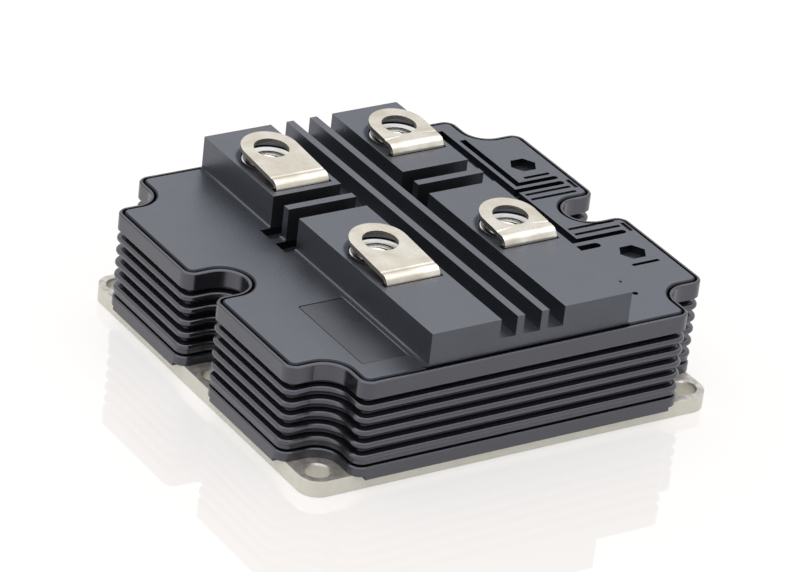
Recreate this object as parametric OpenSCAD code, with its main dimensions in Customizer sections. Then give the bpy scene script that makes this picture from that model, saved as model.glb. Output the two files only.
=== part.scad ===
// Power diode module: a metal base plate carries a finned housing frame and a lid with four bolted terminals.
// Sizes are in millimetres. The origin is the middle of the base plate's underside, and Z points up.
// X runs along the longer side. The free ends of the terminals point towards +Y.

/* [Housing] */
// Length of the housing along X
body_l = 140; // [138:1:156]
// Width of the housing along Y
body_w = 130; // [128:1:146]
// Height of the housing's rim above the underside
rim_z = 35; // [34.5:0.5:40]
// Distance from the housing's outline to the mounting hole centres
hole_inset = 8; // [7.5:0.1:8.5]
// Radius of the screw notches round the mounting holes
notch_r = 7; // [6:0.25:7.5]
// Radius of the rounded corners at the mouth of each notch
mouth_r = 3.8; // [3.6:0.1:4]

/* [Base plate] */
// Thickness of the base plate
base_t = 5; // [4:0.5:6]
// How far the plate's edge lies inside the housing's outline
base_inset = 1.9; // [1.5:0.1:2.4]
// Diameter of the mounting holes
hole_d = 7; // [5.5:0.5:8]
// Chamfer at the top and bottom of each mounting hole
hole_chamfer = 0.5; // [0.2:0.1:0.8]

/* [Wall] */
// Number of cooling fins round the wall
fin_count = 5; // [2:1:5]
// Height from one fin to the next
fin_pitch = 4; // [3.4:0.1:4]
// Radius of a fin's rounded tip
fin_r = 1.05; // [0.8:0.05:1.2]
// Depth of the grooves between the fins
groove_d = 2.6; // [2:0.1:2.8]
// Height of the smooth band below the rim
top_band_h = 5.2; // [4:0.2:5.4]
// Height of the smooth band above the base plate
low_band_h = 2.9; // [2:0.1:3.2]
// Gap between the lowest fin and the low band
low_gap = 0.9; // [0.6:0.1:1.2]
// How far the skirt reaches down over the base plate's edge
skirt_drop = 1.2; // [0.6:0.1:2]
// Thickness of the rim round the lid
rim_t = 0.9; // [0.7:0.1:1.2]
// Thickness of the whole wall
wall_t = 5; // [4.4:0.2:6]

/* [Lid] */
// Gap between the lid's edge and the rim
lid_gap = 0.7; // [0.3:0.1:1]
// Thickness of the lid's plate
lid_t = 3.8; // [3.4:0.1:4.5]
// How far the lid's plate stands above the rim
lid_proud = 0.3; // [0:0.1:0.8]
// Radius of the lid's upper edge
lid_edge_r = 0.8; // [0.4:0.1:1]
// Height of the terminal blocks above the lid's plate
block_h = 10.35; // [9.5:0.05:12]
// Width of a terminal block along X
block_w = 22.7; // [21.6:0.1:23.5]
// Wall of a back block in front of its cathode terminal's slot
block_face_t = 2.2; // [1.8:0.1:2.5]
// Gap between the back blocks and the barrier rib
back_gap = 6.05; // [5:0.05:6.5]
// Gap between the barrier rib and the front blocks
front_gap = 5.8; // [5:0.05:8]
// Thickness of the barrier rib between front and back blocks
barrier_t = 2.6; // [1.6:0.1:3.2]
// How far the barrier's two grooves reach beyond the blocks along X
barrier_reach = 3.5; // [2:0.1:5]
// Distance of the two long ribs from the middle
long_rib_x = 4.05; // [3.2:0.05:5]
// Thickness of the two long ribs
long_rib_t = 2.4; // [1.6:0.1:2.8]
// Depth of the long grooves beside those ribs, measured from the block tops
long_groove_d = 6.15; // [4:0.05:7]
// Wall thickness left round the hollows under the lid
lid_wall = 3; // [2.4:0.1:4]
// Width of the bead along the foot of each block
bead = 0.45; // [0.3:0.05:0.6]

/* [Lid grooves] */
// Depth of the deep grooves in the lid's plate
deep_d = 2.5; // [1.5:0.1:2.7]
// Depth of the shallow grooves in the lid's plate
shallow_d = 0.7; // [0.4:0.1:1.2]
// Distance from the housing's side to the middle of the long deep groove
trench_inset = 23.4; // [23:0.1:24]
// Width of the long deep groove
trench_w = 3.4; // [2.4:0.1:3.6]
// Front end of the long deep groove, where the front cross groove leaves it
trench_front = -17; // [-17.5:0.1:-16.5]
// Distance from the housing's back to the end of the long deep groove
trench_margin = 6; // [6:0.5:10]
// Front side of the back cross groove
cross_y = 16; // [15.5:0.1:16.5]
// Width of the deep cross grooves
cross_w = 2.2; // [1.4:0.1:2.4]
// Distance from the housing's side to the outer end of the cross grooves
cross_margin = 5; // [4.5:0.5:8]
// Width of the thin rib between the two deep grooves
web_t = 1.4; // [1:0.1:1.8]
// Distance from the housing's back to the end of the shorter deep groove
branch_margin = 13.5; // [13:0.5:20]
// Width of the thin slots beside the cross grooves
thin_w = 1.3; // [0.8:0.1:1.5]
// Distance across the flats of the two hexagon pockets
hex_af = 7.5; // [6:0.1:8]
// Distance from the housing's side to the middle of the hexagon pockets
hex_inset = 10.5; // [10:0.1:11.5]
// Middle of the back hexagon pocket along Y
hex_back_y = 31; // [29.5:0.1:32]
// Middle of the front hexagon pocket along Y
hex_front_y = -27.6; // [-28.5:0.1:-26.5]
// Length of the wide slot with a round end
oval_l = 8.1; // [6:0.1:9]
// Width of the wide slot with a round end
oval_w = 2.8; // [2:0.1:3]
// Gap between that slot and the front cross groove
oval_gap = 1.8; // [1.4:0.1:2.4]
// Distance from the long groove's front end to the nearer of two small blind holes
dimple_gap = 24.5; // [23:0.1:25]
// Distance between the two small blind holes
dimple_pitch = 7.5; // [6:0.1:8]
// Length of the flat label recess along Y
label_l = 34.9; // [30:0.1:36]
// Width of the flat label recess along X
label_w = 14.7; // [12:0.1:15]
// Distance from the blocks' front ends to the label recess
label_margin = 8.2; // [7:0.1:9]
// Gap between the label recess and the block beside it
label_gap = 1.85; // [1.4:0.05:2.4]
// Depth of the flat label recess
label_d = 0.4; // [0.2:0.05:0.5]

/* [Terminals] */
// Distance between the two columns of terminals along X
terminal_pitch_x = 44; // [43:0.5:45]
// How far the terminal holes of a row lie behind the middle of its substrates
terminal_mid_y = 13.75; // [13.5:0.05:14]
// Width of a terminal tab
tab_w = 17.7; // [16:0.1:18]
// Thickness of the terminal sheet
tab_t = 1.4; // [1:0.1:1.6]
// Diameter of the bolt hole in a tab
tab_hole_d = 10.6; // [8.4:0.1:11]
// Height of a tab's top face at its hole, above the block
tab_rise = 3.55; // [3:0.05:5]
// Upward tilt of a tab towards its free end, in degrees
tab_tilt = 4; // [1:0.5:4]
// How far the middle of a tab's round end lies beyond its hole
tab_tip = 0.5; // [0.2:0.1:1]
// Outer radius of the bend at the root of a tab
tab_bend_r = 2.8; // [2:0.1:2.8]
// Distance from the root of a cathode tab to its hole
cathode_reach = 18.65; // [17.5:0.05:19]
// Distance from the root of an anode tab to its hole
anode_reach = 11.55; // [11.2:0.05:12]
// Depth of the pressed crease between a tab's bend and its flat
crease_d = 0.12; // [0.08:0.01:0.15]
// Radius of the crease
crease_r = 1.8; // [1.2:0.1:2]
// Distance from the bend to the crease of a cathode tab
crease_lead = 0.9; // [0.8:0.05:1.2]
// Distance from the hole to the creases of an anode tab
crease_gap = 0.6; // [0.5:0.05:0.8]
// Clearance between a terminal's leg and the front and back of its slot
slot_gap = 0.3; // [0.2:0.05:0.45]
// Clearance between a terminal's leg and the ends of its slot
slot_end_gap = 0.9; // [0.4:0.1:1]

/* [Nuts] */
// Diameter of a nut's round flange
flange_d = 17; // [15.6:0.1:17]
// Thickness of a nut's round flange
flange_t = 1.5; // [1:0.1:2]
// Distance across the flats of a nut
nut_af = 13; // [12:0.1:13]
// Full height of a nut with its flange
nut_h = 8; // [6.5:0.1:8.5]
// Diameter of a nut's bore
nut_bore_d = 8; // [6:0.1:8.2]
// Diameter of the plain mouth above a nut's thread
nut_mouth_d = 10; // [9:0.1:10.6]
// Depth of the plain mouth above a nut's thread
nut_mouth_h = 0.8; // [0.5:0.1:1.2]
// Width of the sloping rim on a nut's flange
flange_rim_w = 1.1; // [0.5:0.1:1.5]
// Fall of the sloping rim on a nut's flange
flange_rim_h = 0.4; // [0.2:0.05:0.6]
// Clearance round a nut in its pocket
nut_gap = 0.25; // [0.15:0.05:0.35]
// Room for the bolt's end below a nut
bolt_room = 4.6; // [2:0.1:4.8]
// Diameter of the well for the bolt's end
bolt_well_d = 9; // [8.6:0.1:9.4]

/* [Substrates] */
// Clearance between the substrates and the housing's wall, in front and behind
end_gap = 3.5; // [3:0.1:4]
// Gap between the front and back substrates
row_gap = 9; // [8:0.1:10]
// Gap between the left and right substrates
pair_gap = 3; // [2:0.1:4]
// Width of a ceramic substrate along X
ceramic_w = 44; // [43.6:0.1:44.4]
// Thickness of a ceramic substrate
ceramic_t = 1; // [0.6:0.1:1.2]
// Thickness of the copper layers
copper_t = 0.3; // [0.2:0.05:0.4]
// Margin of bare ceramic round the copper
copper_margin = 1; // [0.8:0.1:1.2]
// Width of the anode track
track_w = 6; // [5.6:0.1:6.4]
// Gap between the anode track and the copper round it
track_gap = 1; // [0.8:0.1:1.1]
// How far the anode track's middle lies in front of the anode terminals' roots
track_lead = 0.3; // [0.2:0.1:0.5]
// Copper left beside the ends of the anode track's window
copper_rim = 1.5; // [1.2:0.1:1.8]
// Gap between the anode track's window and the chips behind it
chip_gap = 1.2; // [0.8:0.1:1.4]
// Least distance from the copper's front edge to the front chips
chip_margin = 1.5; // [1:0.1:1.8]
// Side of a square diode chip
chip_side = 12; // [11.4:0.1:12.2]
// Thickness of a diode chip
chip_t = 0.5; // [0.4:0.05:0.7]
// Distance between neighbouring chips along X
chip_pitch = 14; // [13.6:0.1:14.2]
// Diameter of a bond wire
wire_d = 0.4; // [0.3:0.05:0.5]
// Number of bond wires on a chip
wire_count = 4; // [2:1:4]
// Distance between neighbouring wires on a chip
wire_pitch = 2.4; // [2:0.1:2.4]
// Distance of a wire's landing from the middle of the anode track
wire_land = 1.6; // [1.4:0.1:1.8]
// Width of a terminal's foot
foot_w = 5; // [4:0.1:5.2]
// Length of a terminal's foot
foot_l = 4.6; // [4:0.1:4.8]
// Most distance between a cathode terminal's feet and the front chips
foot_gap = 3.4; // [3:0.1:3.6]
// Height of the terminals' cross bars above the base plate
bar_rise = 13.5; // [13:0.1:14]
// Height of a terminal's cross bar
bar_h = 5.5; // [4:0.1:6]
// Height of the silicone gel above the base plate
gel_h = 21; // [20:0.5:24]

/* [Hidden] */
$fn = 48;
eps = 1;

// Half sizes of the outline and the places of the mounting holes
half_l = body_l / 2;
half_w = body_w / 2;
hole_x = half_l - hole_inset;
hole_y = half_w - hole_inset;

// Heights of the wall
low_band_z = base_t + low_band_h;
top_band_z = rim_z - top_band_h;
top_fin_z = top_band_z - 3.1;
low_fin_z = top_fin_z - (fin_count - 1) * fin_pitch;
ledge_z = rim_z + lid_proud - lid_t;
rim_chamfer = 0.35;
sweep_t = mouth_r - 0.4;

// Lid
lid_inset = rim_t + lid_gap;
plate_z = rim_z + lid_proud;
block_z = plate_z + block_h;
block_x = terminal_pitch_x / 2;
block_end = half_w - lid_inset;
island_z = block_z - long_groove_d;
deep_z = plate_z - deep_d;

// Substrates fill the housing's width, and each row of terminals follows its substrates
ceramic_l = body_w / 2 - wall_t - end_gap - row_gap / 2;
back_y = terminal_mid_y + (ceramic_l + row_gap) / 2;
front_y = terminal_mid_y - (ceramic_l + row_gap) / 2;

// Faces of the blocks and the middle of the barrier rib
back_block_y = back_y - cathode_reach - slot_gap - block_face_t;
barrier_y = back_block_y - back_gap - barrier_t / 2;
front_block_y = barrier_y - barrier_t / 2 - front_gap;

// Grooves in the lid's plate
trench_x = half_l - trench_inset;
trench_back = half_w - trench_margin;
branch_back = half_w - branch_margin;
cross_end = half_l - cross_margin;
hex_x = half_l - hex_inset;
side_slot_x = cross_end + 1.8;

// Slots and tabs of the terminals
slot_w = tab_w + 2 * slot_end_gap;
slot_t = tab_t + 2 * slot_gap;
tab_z = block_z + tab_rise;

// Layers on the base plate
ceramic_z = base_t + copper_t;
track_z = ceramic_z + ceramic_t;
pad_z = track_z + copper_t;
chip_z = pad_z + chip_t;
bar_z = base_t + bar_rise;
substrate_x = (ceramic_w + pair_gap) / 2;
foot_x = chip_pitch / 2;
foot_bend_r = tab_t + 0.4;

// Places on a substrate, measured along Y from the terminal hole of its row
track_y = -anode_reach - track_lead;
substrate_y = -terminal_mid_y;
back_chip_y = track_y + track_w / 2 + track_gap + chip_gap + chip_side / 2;
front_chip_y = max(substrate_y - ceramic_l / 2 + copper_margin + chip_margin + chip_side / 2,
    tab_t - cathode_reach - foot_l - foot_gap - chip_side / 2);

// A quarter of a disc in the first quadrant
module quarter_disc(r) {
    intersection() {
        circle(r);
        square(r);
    }
}

// A rectangle about the middle with rounded corners
module rounded_rectangle(l, w, r) {
    square([l - 2 * r, w], center = true);
    square([l, w - 2 * r], center = true);
    for (sx = [0, 1], sy = [0, 1])
        mirror([sx, 0, 0]) mirror([0, sy, 0])
            translate([l / 2 - r, w / 2 - r]) quarter_disc(r);
}

// One quadrant of the housing's plan, drawn a given distance inside the outline
module plan_quadrant(off) {
    n = notch_r + off;
    r = max(mouth_r - off, 0);
    x = half_l - off;
    y = half_w - off;
    difference() {
        square([x, y]);
        // Notch beside the middle mounting hole
        intersection() {
            translate([hole_x, 0]) circle(n);
            translate([hole_x - n - eps, -n - eps]) square([n + eps, 2 * n + 2 * eps]);
        }
        translate([hole_x, -eps]) square([hole_inset + eps, n + eps]);
        // Notch at the corner
        intersection() {
            translate([hole_x, hole_y]) circle(n);
            translate([hole_x - n - eps, hole_y - n - eps]) square(n + eps);
        }
        translate([hole_x, hole_y - n]) square([hole_inset + eps, n + hole_inset + eps]);
        translate([hole_x - n, hole_y]) square([n + eps, hole_inset + eps]);
        // Room for the rounded mouths
        if (r > 0) {
            translate([x - r, n - eps]) square([r + eps, r + eps]);
            translate([x - r, hole_y - n - r]) square([r + eps, r + eps]);
            translate([hole_x - n - r, y - r]) square([r + eps, r + eps]);
        }
    }
    if (r > 0) {
        translate([x - r, n + r]) mirror([0, 1, 0]) quarter_disc(r);
        translate([x - r, hole_y - n - r]) quarter_disc(r);
        translate([hole_x - n - r, y - r]) quarter_disc(r);
    }
}

// The housing's whole plan, a given distance inside the outline
module plan(off) {
    for (sx = [0, 1], sy = [0, 1])
        mirror([sx, 0, 0]) mirror([0, sy, 0]) plan_quadrant(off);
}

// A straight run of a wall profile along +X; the profile's first axis points inwards, along +Y
module run(len) {
    rotate([90, 0, 90]) linear_extrude(len) children();
}

// A convex corner of the wall about a centre, a quarter turn from a start angle
module convex(x, y, start) {
    translate([x, y, 0]) rotate([0, 0, start])
        rotate_extrude(angle = 90) translate([mouth_r, 0]) mirror([1, 0, 0]) children();
}

// A concave stretch of the wall about a mounting hole
module concave(x, y, start, turn) {
    translate([x, y, 0]) rotate([0, 0, start])
        rotate_extrude(angle = turn) translate([notch_r, 0]) children();
}

// A wall profile carried once round the whole outline
module sweep_wall() {
    mouth_x = half_l - mouth_r;
    mouth_y = half_w - mouth_r;
    inner_x = hole_x - notch_r;
    lobe_low = notch_r + mouth_r;
    lobe_high = hole_y - notch_r - mouth_r;
    front_half = inner_x - mouth_r;
    for (sx = [0, 1]) mirror([sx, 0, 0]) {
        concave(hole_x, 0, 90, 180) children();
        for (sy = [0, 1]) mirror([0, sy, 0]) {
            translate([hole_x, notch_r, 0]) run(mouth_x - hole_x) children();
            convex(mouth_x, lobe_low, -90) children();
            translate([half_l, lobe_low, 0]) rotate([0, 0, 90]) run(lobe_high - lobe_low) children();
            convex(mouth_x, lobe_high, 0) children();
            translate([hole_x, hole_y - notch_r, 0]) mirror([0, 1, 0]) run(mouth_x - hole_x) children();
            concave(hole_x, hole_y, 180, 90) children();
            translate([inner_x, hole_y, 0]) rotate([0, 0, 90]) run(mouth_y - hole_y) children();
            convex(front_half, mouth_y, 0) children();
        }
    }
    for (sy = [0, 1]) mirror([0, sy, 0])
        translate([-front_half, half_w, 0]) mirror([0, 1, 0]) run(2 * front_half) children();
}

// Base plate with six screw holes, chamfered on both sides
module base_plate() {
    color([0.80, 0.79, 0.74])
    difference() {
        linear_extrude(base_t)
            rounded_rectangle(body_l - 2 * base_inset, body_w - 2 * base_inset, hole_inset - base_inset);
        for (x = [-hole_x, hole_x], y = [-hole_y, 0, hole_y])
            translate([x, y, 0]) {
                translate([0, 0, -eps]) cylinder(d = hole_d, h = base_t + 2 * eps);
                translate([0, 0, base_t - hole_chamfer])
                    cylinder(d1 = hole_d, d2 = hole_d + 2 * hole_chamfer + 2 * eps, h = hole_chamfer + eps);
                translate([0, 0, -eps])
                    cylinder(d1 = hole_d + 2 * hole_chamfer + 2 * eps, d2 = hole_d, h = hole_chamfer + eps);
            }
    }
}

// Section of the finned wall: the first axis is the depth from the outline, the second is the height
module wall_profile() {
    core = 0.93 * fin_r;
    root = fin_r + 0.2;
    step = 0.35;
    low_face = step * fin_r;
    fins = [for (k = [0 : fin_count - 1]) low_fin_z + k * fin_pitch];
    polygon(concat(
        [[0, base_t], [0, low_band_z - step], [step, low_band_z], [groove_d, low_band_z]],
        [[groove_d, low_band_z + low_gap], [low_face, low_band_z + low_gap], [low_face, low_fin_z]],
        [[fin_r, low_fin_z + core], [groove_d, low_fin_z + root]],
        [for (k = [1 : fin_count - 1], p = [[groove_d, -root], [fin_r, -core], [fin_r, core], [groove_d, root]])
            [p[0], fins[k] + p[1]]],
        [[groove_d, top_band_z], [0, top_band_z], [0, rim_z - rim_chamfer], [rim_chamfer, rim_z]],
        [[rim_t, rim_z], [rim_t, ledge_z], [sweep_t, ledge_z], [sweep_t, base_t]]
    ));
    for (z = fins) translate([fin_r, z]) circle(fin_r);
}

// Housing frame: the finned wall, its smooth inside, and the skirt over the base plate's straight edges
module housing_frame() {
    skirt_t = base_inset - 0.1;
    skirt_z = base_t - skirt_drop;
    skirt_h = skirt_drop + 1;
    lobe_low = notch_r + mouth_r;
    lobe_high = hole_y - notch_r - mouth_r;
    front_half = hole_x - notch_r - mouth_r;
    color([0.20, 0.21, 0.24]) {
        sweep_wall() wall_profile();
        translate([0, 0, base_t]) linear_extrude(ledge_z - base_t) difference() {
            plan(sweep_t - 0.4);
            plan(wall_t);
        }
        for (sx = [0, 1], sy = [0, 1]) mirror([sx, 0, 0]) mirror([0, sy, 0])
            translate([half_l - skirt_t, lobe_low, skirt_z]) cube([skirt_t, lobe_high - lobe_low, skirt_h]);
        for (sy = [0, 1]) mirror([0, sy, 0])
            translate([-front_half, half_w - skirt_t, skirt_z]) cube([2 * front_half, skirt_t, skirt_h]);
    }
}

// Section of the lid's rounded edge
module lid_edge_profile() {
    depth = sweep_t - lid_inset;
    translate([lid_inset, ledge_z]) square([depth, lid_t - lid_edge_r]);
    translate([lid_inset + lid_edge_r, ledge_z]) square([depth - lid_edge_r, lid_t]);
    translate([lid_inset + lid_edge_r, plate_z - lid_edge_r]) mirror([1, 0, 0]) quarter_disc(lid_edge_r);
}

// A straight-sided groove cut into the lid's plate
module trough(x0, x1, y0, y1, depth) {
    translate([x0, y0, plate_z - depth]) cube([x1 - x0, y1 - y0, depth + eps]);
}

// The pocket for one nut, with the well for its bolt, and the slot for the terminal's leg
module terminal_cuts(side, row_y, reach) {
    translate([side * block_x, row_y, 0]) {
        translate([0, 0, block_z - flange_t]) cylinder(d = flange_d + 2 * nut_gap, h = flange_t + eps);
        translate([0, 0, block_z - nut_h - nut_gap])
            cylinder(d = (nut_af + 2 * nut_gap) / cos(30), h = nut_h, $fn = 6);
        translate([0, 0, block_z - nut_h - bolt_room]) cylinder(d = bolt_well_d, h = bolt_room + 1);
        translate([-slot_w / 2, -reach - slot_gap, ledge_z - eps])
            cube([slot_w, slot_t, block_z - ledge_z + 2 * eps]);
    }
}

// The raised blocks, the barrier between front and back blocks, and the two long ribs
module lid_blocks() {
    low = plate_z - 1;
    for (side = [-1, 1]) {
        translate([side * block_x - block_w / 2, -block_end, low]) cube([block_w, 2 * block_end, block_z - low]);
        translate([side * long_rib_x - long_rib_t / 2, -block_end, low])
            cube([long_rib_t, 2 * block_end, block_z - low]);
        translate([side * (block_x + block_w / 2 + bead / 2) - bead, -block_end, low])
            cube([2 * bead, 2 * block_end, 1 + bead]);
    }
    translate([-block_x, -block_end, low]) cube([2 * block_x, 2 * block_end, island_z - low]);
}

// A groove along X whose outer end is round
module round_trough(x0, x1, y, w, depth) {
    r = w / 2;
    trough(x0, x1 - r, y, y + w, depth);
    translate([x1 - r, y + r, plate_z - depth]) cylinder(r = r, h = depth + eps);
}

// The grooves on the plate beside the anode terminals
module plate_grooves() {
    trench_side = trench_x - trench_w / 2;
    branch_x = trench_x + trench_w / 2 + web_t;
    branch_y = cross_y + cross_w + web_t;
    thin_x = branch_x - 0.4;
    thin_end = cross_end + 0.4;
    // The long groove, its two cross grooves and the bent groove beside it
    trough(trench_side, trench_side + trench_w, trench_front, trench_back, deep_d);
    round_trough(trench_x, cross_end, trench_front, cross_w, deep_d);
    round_trough(trench_x, cross_end, cross_y, cross_w, deep_d);
    trough(branch_x, branch_x + cross_w, branch_y, branch_back, deep_d);
    round_trough(branch_x, cross_end, branch_y, cross_w - 0.2, deep_d);
    // Thin slots in front of and behind the cross grooves
    for (k = [0, 1]) {
        round_trough(thin_x, thin_end, cross_y - 2.6 - 3.1 * k, thin_w, shallow_d);
        round_trough(thin_x, thin_end, trench_front + 3.9 + 3.4 * k, thin_w, shallow_d);
    }
    for (y = [trench_front + 0.6, cross_y - 3.2])
        trough(side_slot_x - thin_w / 2, side_slot_x + thin_w / 2, y, y + 5.2, shallow_d);
    trough(hex_x - 4.5, hex_x + 4.5, branch_y + cross_w + 1.1, branch_y + cross_w + 1.1 + thin_w, deep_d);
    trough(hex_x - 4.7, hex_x + 4.7, hex_front_y - 7.5, hex_front_y - 7.5 + thin_w, deep_d);
    // A wide slot with a round end, and two small blind holes
    round_trough(trench_side, trench_side + oval_l, trench_front - oval_gap - oval_w, oval_w, deep_d);
    translate([trench_x - 1.2, trench_front - dimple_gap, plate_z - 1.5]) cylinder(d = 1.4, h = 1.5 + eps);
    translate([trench_x - 0.8, trench_front - dimple_gap - dimple_pitch, plate_z - 1.5])
        cylinder(d = 1.8, h = 1.5 + eps);
    // Hexagon pockets
    for (y = [hex_front_y, hex_back_y])
        translate([hex_x, y, plate_z - deep_d]) cylinder(d = hex_af / cos(30), h = deep_d + eps, $fn = 6);
}

// The hollows under the lid
module lid_hollows() {
    end = half_w - wall_t - 0.2;
    wide = block_w - 2 * lid_wall;
    for (col = [[-1, cathode_reach], [1, anode_reach]])
        translate([col[0] * block_x - wide / 2, -end, ledge_z - eps])
            cube([wide, front_y - col[1] - slot_gap - lid_wall + end, block_z - lid_wall - ledge_z + eps]);
    middle = 2 * (block_x - block_w / 2 - lid_wall);
    translate([-middle / 2, -end, ledge_z - eps]) cube([middle, 2 * end, island_z - lid_wall - ledge_z + eps]);
}

// Lid: a plate with a rounded edge that carries the terminal blocks
module lid() {
    block_edge = block_x + block_w / 2;
    color([0.24, 0.25, 0.28])
    difference() {
        union() {
            sweep_wall() lid_edge_profile();
            translate([0, 0, ledge_z]) linear_extrude(lid_t) plan(sweep_t - 0.4);
            lid_blocks();
        }
        // Grooves on both sides of the barrier rib
        for (sx = [0, 1], span = [[front_block_y, barrier_y - barrier_t / 2], [barrier_y + barrier_t / 2, back_block_y]])
            mirror([sx, 0, 0]) translate([block_x - block_w / 2, span[0], deep_z])
                cube([block_w + barrier_reach, span[1] - span[0], block_z - deep_z + eps]);
        for (y = [front_y, back_y]) {
            terminal_cuts(-1, y, cathode_reach);
            terminal_cuts(1, y, anode_reach);
        }
        plate_grooves();
        translate([-block_edge - label_gap - label_w / 2, -block_end + label_margin + label_l / 2, plate_z - label_d])
            linear_extrude(label_d + eps) rounded_rectangle(label_w, label_l, 0.8);
        lid_hollows();
    }
}

// A bend in sheet metal about an axis along X: it starts at the front of the axis and turns up and over
module sheet_bend(r, w, turn) {
    rotate([90, 0, -90])
        rotate_extrude(angle = turn) translate([r - tab_t, -w / 2]) square([tab_t, w]);
}

// The crease of a cathode tab, straight across its flat
module long_crease() {
    translate([-tab_w / 2 - 1, crease_lead, tab_bend_r - crease_d + crease_r])
        rotate([0, 90, 0]) cylinder(r = crease_r, h = tab_w + 2);
}

// The creases of an anode tab, which fade out below the middle of its hole
module side_creases(y) {
    for (sx = [0, 1]) mirror([sx, 0, 0]) translate([1.3, y, tab_bend_r + crease_r + 0.02])
        rotate([0, 0, -8.7]) rotate([0, 91.3, 0]) cylinder(r = crease_r, h = tab_w / 2 + 1);
}

// One terminal, bent from a single sheet: tab, leg, cross bar and soldered feet
module terminal(side, row_y, reach) {
    root = row_y - reach;
    bend_y = root + tab_bend_r;
    flat_l = (reach - tab_bend_r + tab_bend_r * sin(tab_tilt)) / cos(tab_tilt);
    bend_z = round(100 * (tab_z - flat_l * sin(tab_tilt) - tab_bend_r * cos(tab_tilt))) / 100;
    bar_half = substrate_x + foot_x + foot_w / 2;
    foot_z = pad_z + foot_bend_r;
    color([0.86, 0.83, 0.77]) {
        translate([side * block_x, bend_y, bend_z]) {
            sheet_bend(tab_bend_r, tab_w, 90 - tab_tilt);
            rotate([tab_tilt, 0, 0]) difference() {
                translate([0, 0, tab_bend_r - tab_t]) linear_extrude(tab_t) difference() {
                    union() {
                        translate([-tab_w / 2, 0]) square([tab_w, flat_l + tab_tip]);
                        for (sx = [0, 1])
                            translate([0, flat_l + tab_tip]) mirror([sx, 0, 0]) quarter_disc(tab_w / 2);
                    }
                    translate([0, flat_l]) rotate(20) circle(d = tab_hole_d);
                }
                if (side < 0) long_crease();
                else side_creases(flat_l - tab_hole_d / 2 - crease_gap);
            }
        }
        translate([side * block_x - tab_w / 2, root, bar_z]) cube([tab_w, tab_t, bend_z - bar_z]);
        translate([-bar_half, root, bar_z]) cube([2 * bar_half, tab_t, bar_h]);
        for (sx = [-1, 1], k = [-1, 1]) translate([sx * substrate_x + k * foot_x, root, 0]) {
            translate([-foot_w / 2, 0, foot_z]) cube([foot_w, tab_t, bar_z + 1 - foot_z]);
            translate([0, tab_t - foot_bend_r, foot_z]) rotate([180, 0, 0]) sheet_bend(foot_bend_r, foot_w, 90);
            translate([-foot_w / 2, tab_t - foot_l, pad_z]) cube([foot_w, foot_l - foot_bend_r, tab_t]);
        }
    }
}

// A hexagon nut with a round flange, upside down in its pocket
module nut(side, row_y) {
    color([0.78, 0.77, 0.74])
    translate([side * block_x, row_y, block_z - nut_h])
    difference() {
        union() {
            cylinder(d = nut_af / cos(30), h = nut_h - flange_t + 0.5, $fn = 6);
            translate([0, 0, nut_h - flange_t]) cylinder(d = flange_d, h = flange_t - flange_rim_h);
            translate([0, 0, nut_h - flange_rim_h])
                cylinder(d1 = flange_d, d2 = flange_d - 2 * flange_rim_w, h = flange_rim_h);
        }
        translate([0, 0, -eps]) cylinder(d = nut_bore_d, h = nut_h + 2 * eps);
        translate([0, 0, nut_h - nut_mouth_h]) cylinder(d = nut_mouth_d, h = nut_mouth_h + eps);
    }
}

// Copper layer between a ceramic substrate and the base plate
module back_copper(side, row_y) {
    w = ceramic_w - 2 * copper_margin;
    l = ceramic_l - 2 * copper_margin;
    color([0.72, 0.45, 0.30])
    translate([side * substrate_x - w / 2, row_y + substrate_y - l / 2, base_t]) cube([w, l, copper_t]);
}

// Ceramic substrate that insulates the chips from the base plate
module ceramic(side, row_y) {
    color([0.90, 0.89, 0.85])
    translate([side * substrate_x - ceramic_w / 2, row_y + substrate_y - ceramic_l / 2, ceramic_z])
        cube([ceramic_w, ceramic_l, ceramic_t]);
}

// Copper under the chips, with a window for the anode track
module cathode_copper(side, row_y) {
    w = ceramic_w - 2 * copper_margin;
    l = ceramic_l - 2 * copper_margin;
    gap = track_w + 2 * track_gap;
    color([0.74, 0.47, 0.31])
    translate([side * substrate_x, row_y, track_z])
    difference() {
        translate([-w / 2, substrate_y - l / 2, 0]) cube([w, l, copper_t]);
        translate([-w / 2 + copper_rim, track_y - gap / 2, -eps]) cube([w - 2 * copper_rim, gap, copper_t + 2 * eps]);
    }
}

// Anode track that the bond wires and the anode terminal's feet land on
module anode_track(side, row_y) {
    w = ceramic_w - 2 * (copper_margin + copper_rim + track_gap);
    color([0.74, 0.47, 0.31])
    translate([side * substrate_x - w / 2, row_y + track_y - track_w / 2, track_z]) cube([w, track_w, copper_t]);
}

// Six diode chips on one substrate, in two rows
module chips(side, row_y) {
    color([0.36, 0.37, 0.40])
    for (k = [-1, 0, 1], y = [back_chip_y, front_chip_y])
        translate([side * substrate_x + k * chip_pitch - chip_side / 2, row_y + y - chip_side / 2, pad_z])
            cube([chip_side, chip_side, chip_t]);
}

// One bond wire: a round loop from a chip to the anode track
module bond_wire(chip_y, land_y) {
    r = abs(land_y - chip_y) / 2;
    translate([0, (chip_y + land_y) / 2, chip_z]) rotate([0, 90, 0]) rotate([0, 0, 90])
        rotate_extrude(angle = 180) translate([r, 0]) circle(d = wire_d);
    translate([0, land_y, pad_z]) cylinder(d = wire_d, h = chip_t);
}

// The bond wires of one substrate
module bond_wires(side, row_y) {
    color([0.85, 0.85, 0.86])
    for (k = [-1, 0, 1], i = [0 : wire_count - 1])
        translate([side * substrate_x + k * chip_pitch + (i - (wire_count - 1) / 2) * wire_pitch, row_y, 0]) {
            bond_wire(back_chip_y, track_y + wire_land);
            bond_wire(front_chip_y, track_y - wire_land);
        }
}

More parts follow.
